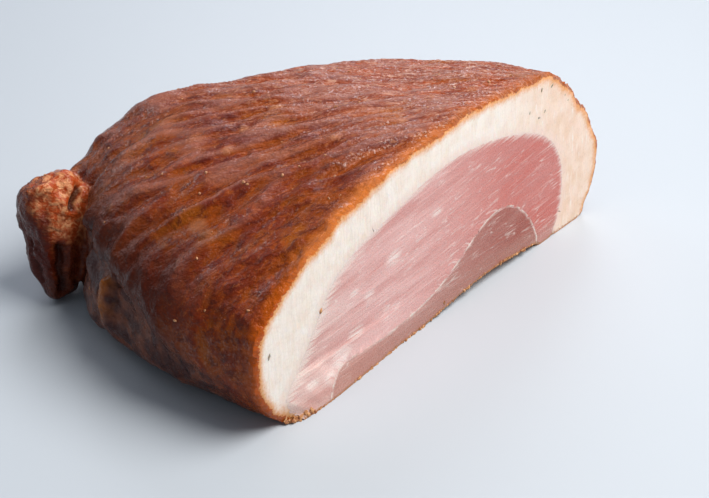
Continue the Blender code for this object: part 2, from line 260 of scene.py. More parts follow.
def tuckUnder(p, trees, reach=1.3, under=0.6):
    # a point of the cut that lies beside another piece is drawn in under the edge of that piece; in mm
    near = min((tree.find_nearest(p) for tree in trees), key=lambda hit: hit[3])
    gap = near[3] / mm
    way = Vector((near[0].x - p.x, 0, near[0].z - p.z))
    if gap < reach and way.length > 0:
        p += way.normalized() * (gap + under) * mm * (1 - smoothStep(0.7, reach, gap))


def insideShape(p, centre, radii, turn):
    # 1 well inside an ellipsoid turned about Z, 0 outside
    d = p - centre
    c, s = math.cos(turn), math.sin(turn)
    local = (d.x * c + d.y * s, d.y * c - d.x * s, d.z)
    far = math.sqrt(sum((a / r) ** 2 for a, r in zip(local, radii)))
    return 1 - smoothStep(0.7, 1.15, far)


# the lean and the inner fillet; proud and fibre are how far the cut stands out, and how uneven it is

leanPiece = {
    "voxel": 0.47 * mm, "rounds": 11, "proud": 0.015, "fibre": 0.05,      # mm
    # right is rosier and darker, partly the meat's own tone and partly painted shade and red reflected light
    "left": "#EAC9C0", "middle": "#E6B5AF", "right": "#C86A5E", "deep": "#CB847C", "low": "#BC8D82",
    "pale": "#F0D2CA", "thread": "#F6E6DE",
}
filletPiece = {
    "voxel": 0.42 * mm, "rounds": 8, "proud": 0.03, "fibre": 0.05,        # mm
    # here too right is partly painted shade and red reflected light
    "left": "#C29E94", "middle": "#C8968C", "right": "#A05040", "deep": "#B47C70", "low": "#AE786A",
    "pale": "#E4C8BE", "thread": "#EFDED3",
}
# both have the same grain: length, width and depth of a streak, then the size of patches, in mm
meatGrain = {"band": (26, 4.5, 9), "fibre": (15, 0.6, 2.5), "thread": (18, 1.7, 3), "blot": 4, "fine": 0.4}
# and the same fat showing through, and smoke brown along the foot
meatEdges = {"fat": "#F1DBD0", "smoked": ("#C98B58", "#8A5230")}
# pale marbling on the cut: x, z, radius, length over height, in mm
marbled = [(-16.8, 20.6, 2.2, 1.5), (-24.3, 15.7, 1.6, 1.3), (-29.0, 18.5, 1.0, 2.0), (-3.0, 24.5, 1.0, 2.5),
           (-33.5, 7.2, 2.4, 1.9), (-28.5, 9.6, 1.7, 2.0), (-37.5, 4.6, 1.6, 1.6), (-42.5, 5.5, 1.4, 1.8)]


def grainOf(p):
    # along the fibres, across them, and away from the cut, in mm; the fibres rise and wander a little
    x, z = p.x / mm, p.z / mm
    across = z * (1 - 0.0045 * x)
    bend = noise.noise(Vector((x * 0.03, z * 0.08, 2.0)))
    return Vector((x + 0.1 * z, across + bend, (p.y - cutY) / mm))


def marbleAt(x, z):
    spots = [math.hypot((x - a) / long, z - b) / radius for a, b, radius, long in marbled]
    return 1 - smoothStep(0.3, 1.0, min(spots))


def makeMeat(nodeName, pieceName, s, material, under=()):
    # under: search trees of finished pieces whose edge covers this one's
    piece = copyOfNode(nodeName, pieceName)
    soften(piece, s["voxel"], s["rounds"])
    places = []
    marks = []
    for v in piece.data.vertices:
        p, n = v.co.copy(), v.normal
        grain = grainOf(p)
        fatAway = millimetresTo(fatByLean, p)
        onCut = isOnCut(p, n, s["voxel"])
        if onCut:
            fibre = noise.noise(Vector((grain.x * 0.16, grain.y * 1.2, 3.0)))
            p.y = cutY - s["proud"] * mm - mm * s["fibre"] * fibre * smoothStep(0.6, 2, fatAway)
            if under:
                tuckUnder(p, under)
            p.z -= mm * max(0.0, aboveFoot(p)) * (1 - smoothStep(0.3, 1.2, aboveFoot(p)))
        elif under and millimetresTo(under[0], p) < 1.2:
            p += n * (millimetresTo(under[0], p) + 0.1) * mm
        standForward(p, onCut)
        p.z = max(p.z, 0.0)
        places.append(p)
        marks.append({
            "fatNear": fatAway,
            "foot": aboveFoot(p) if onCut else 0.0 if n.z < -0.3 else p.z / mm,
            "membrane": millimetresTo(filletTop, v.co),
            "marble": marbleAt(p.x / mm, p.z / mm),
            "grain": grain,
        })
    reshape(piece, places, marks)
    finishPiece(piece, nodeName, material)
    return piece


def curedMeat(name, s):
    # cured and smoked lean: moist pink muscle cut along its grain, with fine white connective threads
    mat, add, shade = startMaterial(name)
    place = add("VectorMath", {"operation": "SCALE", "Scale": 1 / mm, 0: add("TexCoord", out="Object")})
    x = add("SeparateXYZ", {0: place}, "X")
    fatNear, foot, membrane, marble = [add("Attribute", {"attribute_name": mark}, "Fac")
                                       for mark in ("fatNear", "foot", "membrane", "marble")]
    grain = add("Attribute", {"attribute_name": "grain"}, "Vector")
    bandAt, fibreAt, threadAt = [
        add("Mapping", {"Scale": [1 / size for size in meatGrain[key]], "Vector": grain})
        for key in ("band", "fibre", "thread")]
    band = add("TexNoise", {"Scale": 1, "Detail": 3, "Vector": bandAt})
    fibre = add("TexNoise", {"Scale": 1, "Detail": 5, "Roughness": 0.7, "Vector": fibreAt})
    threads = add("TexNoise", {"Scale": 1, "Detail": 2, "Roughness": 0.6, "Vector": threadAt})
    blot = add("TexNoise", {"Scale": 1 / meatGrain["blot"], "Detail": 3, "Vector": place})
    fine = add("TexNoise", {"Scale": 1 / meatGrain["fine"], "Detail": 3, "Roughness": 0.65, "Vector": place})

    # paler at its left end, rosier and darker to the right: partly the meat's own tone, partly painted shade
    # and red reflected light from a loose slice that is not built
    toMiddle = add("MapRange", {**soft, 0: x, 1: -46, 2: -22})
    toRightRosyAndShaded = add("MapRange", {**soft, 0: x, 1: -18, 2: 30})
    onBand = add("MapRange", {**soft, 0: band, 1: 0.42, 2: 0.66, 4: 0.60})
    onPale = add("MapRange", {**soft, 0: fibre, 1: 0.52, 2: 0.74, 4: 0.50})
    onDeep = add("MapRange", {**soft, 0: fibre, 1: 0.46, 2: 0.30, 4: 0.55})
    # a thread is a thin line where the pattern crosses its middle value
    offMiddle = add("Math", {**minus, 0: threads, 1: 0.5})
    offMiddle = add("Math", {"operation": "ABSOLUTE", 0: offMiddle})
    onThread = add("MapRange", {**soft, 0: offMiddle, 1: 0.022, 2: 0.004})
    broken = add("MapRange", {**soft, 0: blot, 1: 0.46, 2: 0.62, 4: 0.45})
    onThread = add("Math", {**times, 0: onThread, 1: broken})
    streaky = add("MapRange", {**soft, 0: fibre, 1: 0.36, 2: 0.56})
    onMarble = add("Math", {**times, 0: marble, 1: streaky})
    onMarble = add("Math", {**times, 0: onMarble, 1: 0.75})
    # the fat shows through at its edge, in streaks at the lower left
    wide = add("MapRange", {**soft, 0: x, 1: -15, 2: -45, 3: 1.9, 4: 4.2})
    strayed = add("MapRange", {0: fibre, 1: 0.3, 2: 0.7})
    reach = add("Math", {**times, 0: wide, 1: strayed})
    inReach = add("Math", {**minus, 0: reach, 1: fatNear})
    onEdge = add("MapRange", {**soft, 0: inReach, 1: -0.9, 2: 1.0, 4: 0.85})
    nearFoot = add("MapRange", {**soft, 0: foot, 1: 5.5, 2: 1.5, 4: 0.6})
    onMembrane = add("MapRange", {**soft, 0: membrane, 1: 0.85, 2: 0.15, 4: 0.85})
    patchy = add("MapRange", {**soft, 0: blot, 1: 0.40, 2: 0.56, 3: 0.25})
    onMembrane = add("Math", {**times, 0: onMembrane, 1: patchy})
    # browned where it met the smoke, along the foot and underneath
    raggedFoot = add("Math", {**timesPlus, 0: fine, 1: -1.8, 2: foot})
    onBrown = add("MapRange", {**soft, 0: raggedFoot, 1: -0.25, 2: -0.75, 4: 0.95})
    light, dark = meatEdges["smoked"]
    smoked = add("Mix", {**rgb, 0: fine, 6: light, 7: dark}, 2)

    colour = s["left"]
    layers = [(toMiddle, s["middle"]), (toRightRosyAndShaded, s["right"]), (onBand, s["deep"]), (onPale, s["pale"]),
              (onDeep, s["deep"]), (onThread, s["thread"]), (onMarble, s["thread"]),
              (onEdge, meatEdges["fat"]), (nearFoot, s["low"]), (onMembrane, s["thread"]), (onBrown, smoked)]
    for share, tone in layers:
        colour = add("Mix", {**rgb, 0: share, 6: colour, 7: tone}, 2)

    bump = add("Bump", {"Strength": 0.8, "Distance": 0.12 * mm, "Height": fine})
    bump = add("Bump", {"Strength": 0.7, "Distance": 0.20 * mm, "Height": fibre, "Normal": bump})
    shade({"Base Color": colour, "Normal": bump, "IOR": 1.42,
           "Roughness": add("MapRange", {0: fine, 1: 0.35, 2: 0.65, 3: 0.18, 4: 0.42}),
           "Subsurface Weight": 0.15, "Subsurface Radius": (1.0, 0.4, 0.3), "Subsurface Scale": 1.2 * mm})
    return mat


# the skin and fat; knob is short for the shrivelled end at the left back

skinPiece = {
    "voxel": 0.60 * mm, "rounds": 8,
    "ridge": 0.80, "rib": 0.22, "wrinkle": 0.24, "leather": 0.18, "blister": 0.18,     # heights, mm
    # how often these turn in a mm along the folds, across them and up, and a shift that keeps them apart
    "ridgeRun": (0.040, 0.26, 0.05, 0), "ribRun": (0.055, 0.52, 0.10, 5),
    "wrinkleRun": (0.13, 0.62, 0.25, 7), "leatherRun": (0.32, 1.15, 0.6, 3),
    # the folds fan out from this centre, and the radius, in mm, turns an angle round it to a width
    "fanCentre": Vector((45 * mm, -62 * mm, 0)), "fanRadius": 72,
    "knobFold": 1.3, "knobWrinkle": 0.55, "knobGrain": 0.24,           # mm
    "knobCentre": Vector((-39.5, 29.2, 12.5)) * mm, "knobRadii": (10.5 * mm, 10.5 * mm, 18 * mm),
    "knobTurn": math.radians(-51.8), "knobSide": (0.618, -0.786, 0),   # knobSide points from it to the body
    "nuggetCentre": Vector((-53.6, 2.6, 13.8)) * mm, "nuggetRadii": (4.5 * mm, 1.9 * mm, 5.6 * mm),
    "slackBelow": (12.5, 21.5), "slackClimb": (-26, 4),                # mm
    "edgeRag": 0.35, "fatSmear": 0.06,                                 # mm
}
# cracks and ridges of the shrivelled end: from, to, half width, height, in mm
knobLines = [
    ((-45.0, 24.2, 13.0), (-45.6, 24.0, 3.0), 1.1, -1.5),
    ((-40.8, 23.6, 20.5), (-37.2, 26.2, 23.2), 1.0, -1.6),
    ((-46.8, 13.0, 21.5), (-46.0, 15.5, 16.0), 2.2, -1.1),
    ((-44.9, 31.5, 23.5), (-42.6, 27.2, 25.2), 0.9, 1.2),
    ((-38.6, 27.0, 24.6), (-37.4, 29.5, 24.4), 2.2, 0.7),
    ((-46.2, 27.2, 17.0), (-46.6, 26.2, 7.0), 1.3, 0.6),
    ((-45.8, 29.5, 17.5), (-43.8, 25.5, 15.8), 0.9, -0.9),
    ((-46.2, 31.5, 13.0), (-46.4, 28.4, 6.0), 0.9, -0.9),
    ((-41.5, 19.5, 22.0), (-44.5, 19.5, 6.0), 1.5, -1.6),
    ((-51.8, 6.0, 18.5), (-53.2, 6.2, 9.0), 1.1, -1.3),
    ((-54.0, -0.6, 19.5), (-55.6, 0.2, 10.5), 0.9, -1.1),
    ((-53.4, 2.9, 17.5), (-54.4, 2.8, 9.0), 1.6, 0.8),
]
# pale blisters of fat in the skin: x, y, z, radius, in mm
blisters = [
    (-26.6, -5.0, 36.7, 1.3), (-10.9, -3.9, 39.3, 1.5), (-49.6, -9.5, 27.9, 1.1), (-43.7, -12.5, 31.0, 2.2),
    (-45.0, -15.6, 30.2, 1.8), (-15.7, -23.1, 40.4, 1.2), (-19.5, -3.4, 38.1, 1.0), (-44.8, 8.7, 27.2, 1.2),
    (-50.9, -14.6, 26.9, 1.0), (8.7, -27.3, 41.0, 1.1), (17.3, -30.9, 41.1, 1.3), (12.0, 12.0, 38.0, 1.6),
    (30.0, -5.0, 36.0, 1.4), (-8.0, 22.0, 33.0, 1.5),
]


def skinFlow(p):
    # distance from the fan's centre, way round it, and height, all in mm
    d = p - skinPiece["fanCentre"]
    out = math.hypot(d.x, d.y) / mm - 0.6 * p.z / mm
    return Vector((out, math.atan2(d.y, d.x) * skinPiece["fanRadius"], p.z / mm))


def blisterShare(p):
    p = p + noise.noise_vector(p * 400) * 0.8 * mm
    return max(1 - smoothStep(0.4, 1.1, (p - Vector(b[:3]) * mm).length / mm / b[3]) for b in blisters)


def slackShare(p):
    # the loose darker skin low on the left, under the crease
    low, high = skinPiece["slackBelow"]
    crease = low + (high - low) * smoothStep(*skinPiece["slackClimb"], p.y / mm)
    crease += 1.5 * noise.noise(p * 140) + 2.0 * noise.noise(p * 60)
    left = 1 - smoothStep(-46, -34, p.x / mm)
    below = 1 - smoothStep(crease - 2.5, crease + 1.5, p.z / mm)
    return left * below * smoothStep(2, 14, (p.y - cutY) / mm)


def knobRelief(p):
    # height of the cracks and ridges of the shrivelled end, mm
    if p.x > -30 * mm or p.y < -5 * mm:
        return 0.0
    total = 0.0
    p = p + noise.noise_vector(p * 300) * 0.9 * mm
    for start, end, half, height in knobLines:
        a, b = Vector(start) * mm, Vector(end) * mm
        near, share = intersect_point_line(p, a, b)
        near = a if share < 0 else b if share > 1 else near
        total += height * (1 - smoothStep(0.2, 1.6, (p - near).length / mm / half))
    return total


def foldNoise(flow, across, run):
    return noise.noise(Vector((flow.x * run[0], across * run[1], flow.z * run[2] + run[3])))


def skinHeight(p, flow, knob, slack):
    # height of all the folds, of the ridges alone and of the finer wrinkles at a point of the skin, mm
    s = skinPiece
    across = flow.y + 1.5 * noise.noise(Vector((flow.x * 0.06, flow.y * 0.10, 4.0)))       # the folds wander
    ridge = 1 - 2.4 * abs(foldNoise(flow, across, s["ridgeRun"]))
    rib = 1 - 2.6 * abs(foldNoise(flow, across, s["ribRun"]))
    wrinkle = foldNoise(flow, across, s["wrinkleRun"])
    leather = foldNoise(flow, across, s["leatherRun"])
    # the ridges fade low down on the left, and give way to leathery grain towards the tip
    right = smoothStep(-5, 40, p.x / mm)
    low = 1 - smoothStep(12, 28, p.z / mm)
    ridge *= 1 - 0.7 * low * (1 - right)
    height = s["ridge"] * ridge * (1 - 0.75 * right) + s["rib"] * rib + s["wrinkle"] * wrinkle
    height += s["leather"] * leather * (1 + 0.5 * right)
    if slack > 0:
        loose = 0.5 * noise.noise(p * 210) + 0.3 * noise.noise(p * 480)
        height = height * (1 - 0.75 * slack) + slack * loose
    if knob > 0:
        tall = Vector((p.x, p.y, p.z * 0.5))
        fold = 0.7 - 2.6 * abs(noise.noise(tall * 170))
        shrunk = s["knobFold"] * 0.5 * fold + s["knobWrinkle"] * noise.noise(tall * 420)
        shrunk += s["knobGrain"] * noise.noise(p * 1050)
        height = height * (1 - knob) + shrunk * knob
    return height, ridge, wrinkle + 0.6 * leather


def makeSkinAndFat(neighbours):
    # neighbours: search trees of the finished lean and fillet
    s = skinPiece
    piece = copyOfNode("skin_and_fat", "skinAndFat")
    soften(piece, s["voxel"], s["rounds"])
    places = []
    marks = []
    for v in piece.data.vertices:
        p, n = v.co.copy(), v.normal.copy()
        flow = skinFlow(p)
        depth = millimetresTo(outerSkin, p)
        lean = min(millimetresTo(tree, p) for tree in neighbours)
        knob = insideShape(p, s["knobCentre"], s["knobRadii"], s["knobTurn"])
        slack = slackShare(p) * (1 - knob)
        height, ridge, wrinkle = skinHeight(p, flow, knob, slack)
        blister = blisterShare(p)
        line = knobRelief(p)
        onCut = isOnCut(p, n, s["voxel"])
        isInner = lean < 1.6 and depth > 2.2
        isUnder = n.z < -0.9 and p.z < 0.5 * mm
        byCut = 1 - smoothStep(0, 2, (p.y - cutY) / mm)
        rag = s["edgeRag"] * noise.noise(Vector((p.x, 0, p.z)) * 800) * byCut
        if onCut:
            # the rim of skin is ragged and set back a little, and the fat is smeared by the knife
            p.y = cutY
            if depth < 0.8:
                p += Vector((n.x, 0, n.z)) * rag * mm
                p.y += 0.3 * mm * (0.8 - depth)
            elif lean < 2:
                tuckUnder(p, neighbours)
            smear = noise.noise(Vector((p.x * 700, 1.0, p.z * 240)))
            p.y += mm * s["fatSmear"] * smear * smoothStep(0.5, 2, lean)
        elif isInner:
            # the hollow that holds the meat closes on it
            p += n * (lean + 0.1) * mm
            p.y = max(p.y, cutY)
        else:
            hold = smoothStep(0.0, 1.0, p.z / mm)
            out = n * (height + line + rag + s["blister"] * blister) * mm * hold
            if p.y < cutY + 1.5 * mm:
                out.y = 0.0
            p += out
        standForward(p, onCut)
        if v.co.z < 0.3 * mm:
            p.z = v.co.z            # what lies on the table stays there
        p.z = max(p.z, 0.0)
        places.append(p)
        marks.append({
            "fatDepth": depth if onCut or isInner or isUnder else 0.0, "leanNear": lean,
            "foot": aboveFoot(p) if onCut else p.z / mm,
            "crest": ridge, "wrinkle": wrinkle, "knob": knob, "deepLine": -line,
            "nugget": insideShape(p, s["nuggetCentre"], s["nuggetRadii"], s["knobTurn"]),
            "slack": slack, "blister": blister, "flow": flow,
        })
    reshape(piece, places, marks)
    finishPiece(piece, "skin_and_fat", brownedSkinOnFat())
    return piece


# pairs are the tone at the left end and the tone towards the tip
skinTones = {
    # mauve is partly paler skin and partly a painted sheen
    "amber": ("#883C08", "#AA4A14"), "rust": ("#742A0C", "#A04A24"), "mauveSheen": ("#6C2A20", "#AE7468"),
    "dark": ("#52180F", "#76291E"), "pale": ("#A04814", "#D8A48E"), "fleck": ("#B86A30", "#E4BCA6"),
    "pit": ("#5E2410", "#8E3A14"),
}
# pairs are the darker and the lighter tone of one pattern
skinColours = {
    # crest is partly paler skin and partly a painted sheen on the high crests
    "red": "#7E3420", "yellow": "#A4580C", "crest": "#A66A58", "blister": "#CE9068", "shaded": "#4A1A0C",
    "glow": ("#C2580A", "#DC7C34"), "slack": ("#4A2A26", "#7A4632"), "nugget": ("#743812", "#B0641C"),
}
# the bright tone is painted light; the crease, low, outer, cleft and crack tones are painted shade
knobColours = {
    "crumb": ("#742812", "#B25C32"), "paintedLight": ("#B24A1E", "#E6A070"), "crease": "#5A2010", "low": "#5A2414",
    "outer": "#4E140A", "cleftShade": "#1E0A06", "crackShade": "#34110A",
}
# here a pair is the usual tone and its cloudier one
fatColours = {
    "cream": ("#F5EADF", "#F0E0D2"), "peach": ("#F2D6C2", "#EAC8AE"), "smear": "#FBF5EE", "byLean": "#EECFC2",
    "stain": "#DE8E35", "foot": "#B87646",
}
# sizes in mm: streaks that run with the folds have a length, a width and a height, patches one size
skinGrain = {
    "longStreak": (16, 3.2, 8), "streak": (4.0, 1.2, 2.2), "fleck": (1.5, 0.55, 1.0),
    "mottle": 10, "blot": 3.2, "spread": 1.8, "lump": 1.5, "grain": 0.5, "smear": (0.8, 1, 4.0),
}
skinMarks = ("fatDepth", "leanNear", "foot", "crest", "wrinkle", "knob", "deepLine", "nugget", "slack",
             "blister")


def skinPatterns(add):
    # what the colours and the relief share: marks on the mesh, places in mm and noises of several sizes
    at = SimpleNamespace(**{mark: add("Attribute", {"attribute_name": mark}, "Fac") for mark in skinMarks})
    at.place = add("VectorMath", {"operation": "SCALE", "Scale": 1 / mm, 0: add("TexCoord", out="Object")})
    at.x, y, at.z = add("SeparateXYZ", {0: at.place}, None).outputs
    at.behindCut = add("Math", {**minus, 0: y, 1: cutY / mm})
    at.facing = add("SeparateXYZ", {0: add("TexCoord", out="Normal")}, None).outputs
    flow = add("Attribute", {"attribute_name": "flow"}, "Vector")
    long, short, tiny = [add("Mapping", {"Scale": [1 / size for size in skinGrain[key]], "Vector": flow})
                         for key in ("longStreak", "streak", "fleck")]
    at.longStreak = add("TexNoise", {"Scale": 1, "Detail": 3, "Roughness": 0.55, "Vector": long})
    bent = {"Scale": 1, "Roughness": 0.6, "Distortion": 0.3}
    at.streak = add("TexNoise", {**bent, "Detail": 4, "Vector": short})
    at.fleck = add("TexNoise", {**bent, "Detail": 3, "Vector": tiny})
    patch = {key: 1 / size for key, size in skinGrain.items() if not isinstance(size, tuple)}
    at.mottle = add("TexNoise", {"Scale": patch["mottle"], "Detail": 3, "Vector": at.place})
    at.blot = add("TexNoise", {"Scale": patch["blot"], "Detail": 3, "Vector": at.place})
    at.spread = add("TexNoise", {"Scale": patch["spread"], "Detail": 3, "Roughness": 0.6, "Vector": at.place})
    at.lump = add("TexNoise", {"Scale": patch["lump"], "Detail": 4, "Roughness": 0.65, "Distortion": 0.5,
                               "Vector": at.place})
    at.grain = add("TexNoise", {"Scale": patch["grain"], "Detail": 3, "Roughness": 0.6, "Vector": at.place})
    # strokes of the knife over the fat
    drag = add("Mapping", {"Scale": [1 / size for size in skinGrain["smear"]],
                           "Rotation": (0, math.radians(28), 0), "Vector": at.place})
    at.smear = add("TexNoise", {"Scale": 1, "Detail": 3, "Vector": drag})
    # the grain is busier towards the tip, calm and glassy at the left and round the side
    at.onSide = add("MapRange", {**soft, 0: at.facing["X"], 1: 0.20, 2: 0.70, 4: 0.75})
    calm = add("MapRange", {**soft, 0: at.x, 1: 4, 2: -34, 4: 0.65})
    calm = add("Math", {**larger, 0: calm, 1: at.onSide})
    at.calm = add("Math", {**minus, "use_clamp": True, 0: calm, 1: at.knob})
    return at


def leatherColour(add, at):
    # height as the eye reads it: amber in the low parts, and higher up a mauve tone on the crests that is
    # partly paler skin and partly a painted sheen
    level = add("Math", {**timesPlus, 0: at.crest, 1: 0.14, 2: 0.15})
    level = add("Math", {**timesPlus, 0: at.wrinkle, 1: 0.22, 2: level})
    level = add("Math", {**timesPlus, 0: at.longStreak, 1: 0.55, 2: level})
    isRight = add("MapRange", {**soft, 0: at.x, 1: -28, 2: 30})
    tone = {name: add("Mix", {**rgb, 0: isRight, 6: left, 7: right}, 2)
            for name, (left, right) in skinTones.items()}
    # the mauve, partly a painted sheen, stays off low places and off the left end beside the cut
    wellBehind = add("MapRange", {**soft, 0: at.behindCut, 1: 8, 2: 26})
    offLeft = add("MapRange", {**soft, 0: at.x, 1: -34, 2: -6})
    away = add("Math", {**larger, 0: wellBehind, 1: offLeft})
    upHigh = add("MapRange", {**soft, 0: at.z, 1: 14, 2: 32})
    upHigh = add("Math", {**times, 0: upHigh, 1: away})
    mostly = add("MapRange", {0: upHigh, 3: 0.4})
    toRust = add("MapRange", {**soft, 0: level, 1: 0.40, 2: 0.52})
    toMauveSheen = add("MapRange", {**soft, 0: level, 1: 0.52, 2: 0.66})
    toMauveSheen = add("Math", {**times, 0: toMauveSheen, 1: mostly})
    onRed = add("MapRange", {**soft, 0: at.mottle, 1: 0.47, 2: 0.34, 4: 0.55})
    onYellow = add("MapRange", {**soft, 0: at.mottle, 1: 0.56, 2: 0.70, 4: 0.55})
    # the streaks are weaker round the side, and the flecks where the grain is calm
    lively = add("MapRange", {**soft, 0: at.facing["X"], 1: 0.20, 2: 0.70, 3: 1.0, 4: 0.4})
    busy = add("Math", {**minus, 0: 1.0, 1: at.calm})
    onDark = add("MapRange", {**soft, 0: at.streak, 1: 0.53, 2: 0.63, 4: 0.72})
    onDark = add("Math", {**times, 0: onDark, 1: lively})
    onPale = add("MapRange", {**soft, 0: at.streak, 1: 0.46, 2: 0.37, 4: 0.60})
    onPale = add("Math", {**times, 0: onPale, 1: lively})
    onFleck = add("MapRange", {**soft, 0: at.fleck, 1: 0.55, 2: 0.66, 4: 0.60})
    onFleck = add("Math", {**times, 0: onFleck, 1: busy})
    onPit = add("MapRange", {**soft, 0: at.fleck, 1: 0.45, 2: 0.35, 4: 0.60})
    onPit = add("Math", {**times, 0: onPit, 1: busy})
    # painted sheen on the high crests, with some paler skin
    onCrestSheen = add("MapRange", {**soft, 0: at.crest, 1: 0.50, 2: 0.95, 4: 0.50})
    onCrestSheen = add("Math", {**times, 0: onCrestSheen, 1: upHigh})
    onBlister = add("Math", {**times, 0: at.blister, 1: 0.32})

    colour = tone["amber"]
    layers = [(toRust, tone["rust"]), (toMauveSheen, tone["mauveSheen"]), (onRed, skinColours["red"]),
              (onYellow, skinColours["yellow"]), (onDark, tone["dark"]), (onPale, tone["pale"]),
              (onFleck, tone["fleck"]), (onPit, tone["pit"]), (onCrestSheen, skinColours["crest"]),
              (onBlister, skinColours["blister"])]
    for share, layerTone in layers:
        colour = add("Mix", {**rgb, 0: share, 6: colour, 7: layerTone}, 2)
    return colour


def glowAndShade(add, at, colour):
    # it glows orange where light comes through the fat beside the cut
    teeth = add("Mix", {"data_type": "FLOAT", 0: 0.5, 2: at.blot, 3: at.spread})
    ragged = add("Math", {**timesPlus, 0: teeth, 1: 6.0, 2: at.behindCut})
    onGlow = add("MapRange", {**soft, 0: ragged, 1: 6.6, 2: 2.6, 4: 0.78})
    fewer = add("MapRange", {**soft, 0: at.x, 1: -28, 2: 12, 3: 1.0, 4: 0.5})
    onGlow = add("Math", {**times, 0: onGlow, 1: fewer})
    offEnd = add("MapRange", {**soft, 0: at.x, 1: -52, 2: -38})
    # darker and redder towards the shrivelled end
    shaded = add("MapRange", {**soft, 0: at.x, 1: -28, 2: -46, 4: 0.9})
    low = add("MapRange", {**soft, 0: at.z, 1: 34, 2: 24})
    shaded = add("Math", {**times, 0: shaded, 1: low})
    wellBack = add("MapRange", {**soft, 0: at.behindCut, 1: 12, 2: 26})
    shaded = add("Math", {**times, 0: shaded, 1: wellBack})
    # slack skin low on the left is dull purple brown, with an amber nugget beside the shrivelled end
    patchy = add("MapRange", {**soft, 0: at.blot, 1: 0.38, 2: 0.68})
    nuggetEdge = add("MapRange", {**soft, 0: at.blot, 1: 0.3, 2: 0.5})
    onNugget = add("Math", {**times, 0: at.nugget, 1: nuggetEdge})
    glow, slack, nugget = [add("Mix", {**rgb, 0: share, 6: skinColours[key][0], 7: skinColours[key][1]}, 2)
                           for key, share in (("glow", offEnd), ("slack", patchy), ("nugget", at.grain))]

    layers = [(onGlow, glow), (shaded, skinColours["shaded"]), (at.slack, slack), (onNugget, nugget)]
    for share, tone in layers:
        colour = add("Mix", {**rgb, 0: share, 6: colour, 7: tone}, 2)
    return colour, shaded


def knobColour(add, at, colour):
    # the shrivelled end is crumbly and orange brown; darker blots are painted shade in its creases
    clumps = add("MapRange", {**soft, 0: at.lump, 1: 0.42, 2: 0.64})
    crumb, paintedLight = [add("Mix", {**rgb, 0: clumps, 6: knobColours[key][0], 7: knobColours[key][1]}, 2)
                     for key in ("crumb", "paintedLight")]
    onCreaseShade = add("MapRange", {**soft, 0: at.blot, 1: 0.52, 2: 0.38, 4: 0.85})
    # painted shade: darker low down
    lowShade = add("MapRange", {**soft, 0: at.z, 1: 19, 2: 10, 4: 0.75})
    # painted light: brighter where it faces up and out of the cut's side, towards the lamps
    outward = add("Math", {**times, 0: at.facing["Z"], 1: 0.8})
    outward = add("Math", {**timesPlus, 0: at.facing["Y"], 1: -0.8, 2: outward})
    paintedLightShare = add("MapRange", {**soft, 0: outward, 1: 0.15, 2: 0.75, 4: 0.85})
    isHigh = add("MapRange", {**soft, 0: at.z, 1: 12.5, 2: 18.0})
    paintedLightShare = add("Math", {**times, 0: paintedLightShare, 1: isHigh})
    # painted shade: its outer side, turned from the lamps, is darker, and the cleft between it and the body
    # is near black
    sideways = add("VectorMath", {"operation": "DOT_PRODUCT", 0: at.place, 1: skinPiece["knobSide"]}, "Value")
    onOuterShade = add("MapRange", {**soft, 0: sideways, 1: -47.6, 2: -49.4, 4: 0.9})
    underTop = add("MapRange", {**soft, 0: at.z, 1: 22.5, 2: 18.5})
    onOuterShade = add("Math", {**times, 0: onOuterShade, 1: underTop})
    for share, tone in [(onCreaseShade, knobColours["crease"]), (lowShade, knobColours["low"]), (paintedLightShare, paintedLight),
                        (onOuterShade, knobColours["outer"])]:
        crumb = add("Mix", {**rgb, 0: share, 6: crumb, 7: tone}, 2)

    intoKnob = add("MapRange", {**soft, 0: at.knob, 1: 0.02, 2: 0.35})
    outOfKnob = add("MapRange", {**soft, 0: at.knob, 1: 0.95, 2: 0.60})
    cleftShade = add("Math", {**times, 0: intoKnob, 1: outOfKnob})
    cleftLow = add("MapRange", {**soft, 0: at.z, 1: 26, 2: 20, 4: 0.85})
    cleftShade = add("Math", {**times, 0: cleftShade, 1: cleftLow})
    inFront = add("MapRange", {**soft, 0: sideways, 1: -46, 2: -43})
    cleftShade = add("Math", {**times, 0: cleftShade, 1: inFront})
    # painted shade in the cracks cut into the relief
    onCrackShade = add("MapRange", {**soft, 0: at.deepLine, 1: 0.15, 2: 1.3, 4: 0.85})
    for share, tone in [(at.knob, crumb), (cleftShade, knobColours["cleftShade"]), (onCrackShade, knobColours["crackShade"])]:
        colour = add("Mix", {**rgb, 0: share, 6: colour, 7: tone}, 2)
    return colour, cleftShade


